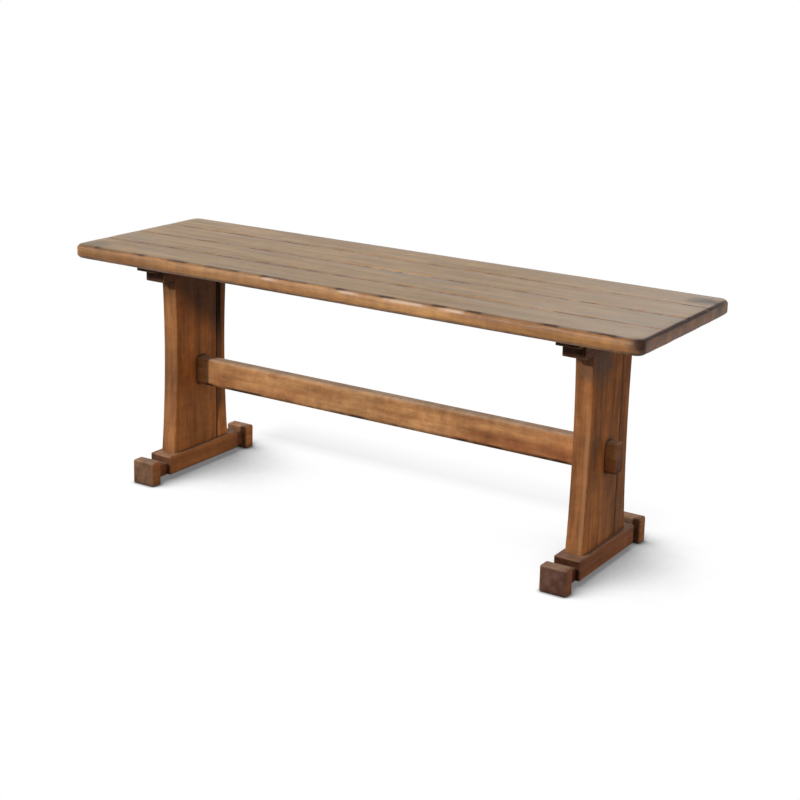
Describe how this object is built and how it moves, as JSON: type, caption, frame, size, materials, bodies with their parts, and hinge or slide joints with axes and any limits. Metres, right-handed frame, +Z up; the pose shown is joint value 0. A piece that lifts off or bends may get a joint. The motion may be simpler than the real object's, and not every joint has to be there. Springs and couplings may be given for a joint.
{
  "type": "trestle bench",
  "caption": "Wooden trestle bench: a planked seat on stepped cross bearers, waisted slab legs on notched feet, and a stretcher that passes through both legs.",
  "frame": {"origin": "on the floor, under the middle of the bench", "axes": "+Z up, +X along the bench, +Y towards its back"},
  "size_m": [1.2, 0.37, 0.468],
  "materials": {
    "seat_wood": "worn satin, tan with grey patina",
    "frame_wood": "oiled, warm brown",
    "peg_wood": "plain",
    "screw_steel": "zinc plated"
  },
  "bodies": {
    "root": {"seat_board_1": "seat_wood", "seat_board_2": "seat_wood", "seat_board_3": "seat_wood", "seat_board_4": "seat_wood", "bearer_left": "frame_wood", "bearer_right": "frame_wood", "leg_left": "frame_wood", "leg_right": "frame_wood", "leg_left_edge_board": "frame_wood", "leg_right_edge_board": "frame_wood", "stretcher": "frame_wood", "foot_left": "frame_wood", "foot_right": "frame_wood", "toe_left_front": "frame_wood", "toe_left_rear": "frame_wood", "toe_right_front": "frame_wood", "toe_right_rear": "frame_wood", "seat_dowels": "peg_wood", "leg_dowels": "peg_wood", "foot_wedges": "peg_wood", "bearer_wedges": "peg_wood", "stretcher_wedges": "peg_wood", "seat_screws": "screw_steel"}
  },
  "joints": []
}
